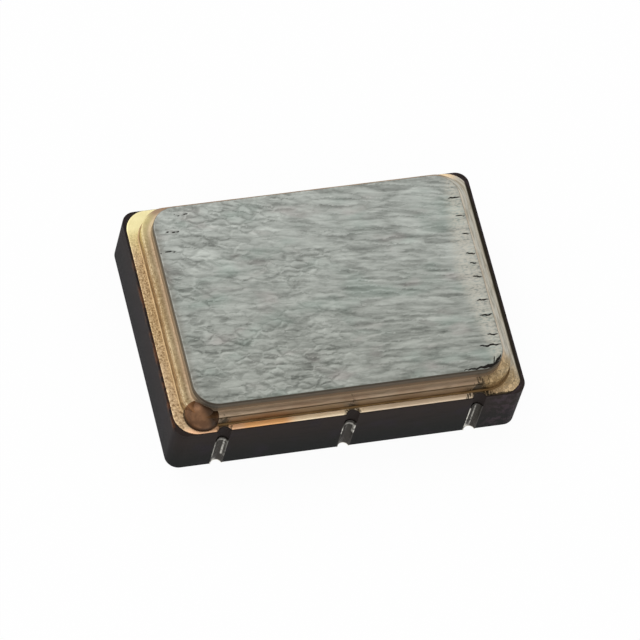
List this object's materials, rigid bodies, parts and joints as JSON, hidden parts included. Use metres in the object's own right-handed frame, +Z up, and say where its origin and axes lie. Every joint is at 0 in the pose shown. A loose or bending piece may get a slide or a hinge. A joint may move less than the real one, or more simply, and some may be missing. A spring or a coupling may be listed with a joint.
{
  "type": "crystal oscillator",
  "caption": "Surface-mount crystal oscillator: black stepped ceramic case with notched terminals, gold-plated seal ring, welded grey lid, and quartz blank and die inside.",
  "frame": {"origin": "centre of the package in the plane that the solder lands rest on", "axes": "+X along the long sides from terminal one towards terminal three, +Y from the side of terminals one to three towards the side of four to six, +Z up out of the lid"},
  "size_m": [0.007, 0.005, 0.0018],
  "materials": {
    "black_ceramic": "matte",
    "gold_plate": "satin",
    "nickel_lid": "matte",
    "terminal_plate": "satin",
    "silver_braze": "satin",
    "printed_tungsten": "matte",
    "bond_gold": "polished",
    "silicon": "polished",
    "silver_epoxy": "matte",
    "quartz": "clear",
    "silver_film": "satin"
  },
  "bodies": {
    "root": {"ceramic_base": "black_ceramic", "terminal_1": "terminal_plate", "terminal_2": "terminal_plate", "terminal_3": "terminal_plate", "terminal_4": "terminal_plate", "terminal_5": "terminal_plate", "terminal_6": "terminal_plate", "seal_band": "gold_plate", "braze_joint": "silver_braze", "seal_ring": "gold_plate", "lid": "nickel_lid", "lead_1": "printed_tungsten", "lead_2": "printed_tungsten", "lead_3": "printed_tungsten", "lead_4": "printed_tungsten", "lead_5": "printed_tungsten", "lead_6": "printed_tungsten", "crystal_lead_a": "printed_tungsten", "crystal_lead_b": "printed_tungsten", "ground_via": "printed_tungsten", "die_pad": "gold_plate", "die_adhesive": "silver_epoxy", "oscillator_die": "silicon", "bond_wire_1": "bond_gold", "bond_wire_2": "bond_gold", "bond_wire_3": "bond_gold", "bond_wire_4": "bond_gold", "bond_wire_5": "bond_gold", "bond_wire_6": "bond_gold", "bond_wire_a": "bond_gold", "bond_wire_b": "bond_gold", "crystal_adhesive_a": "silver_epoxy", "crystal_adhesive_b": "silver_epoxy", "quartz_blank": "quartz", "top_electrode": "silver_film", "bottom_electrode": "silver_film", "crystal_rest": "black_ceramic"}
  },
  "joints": []
}
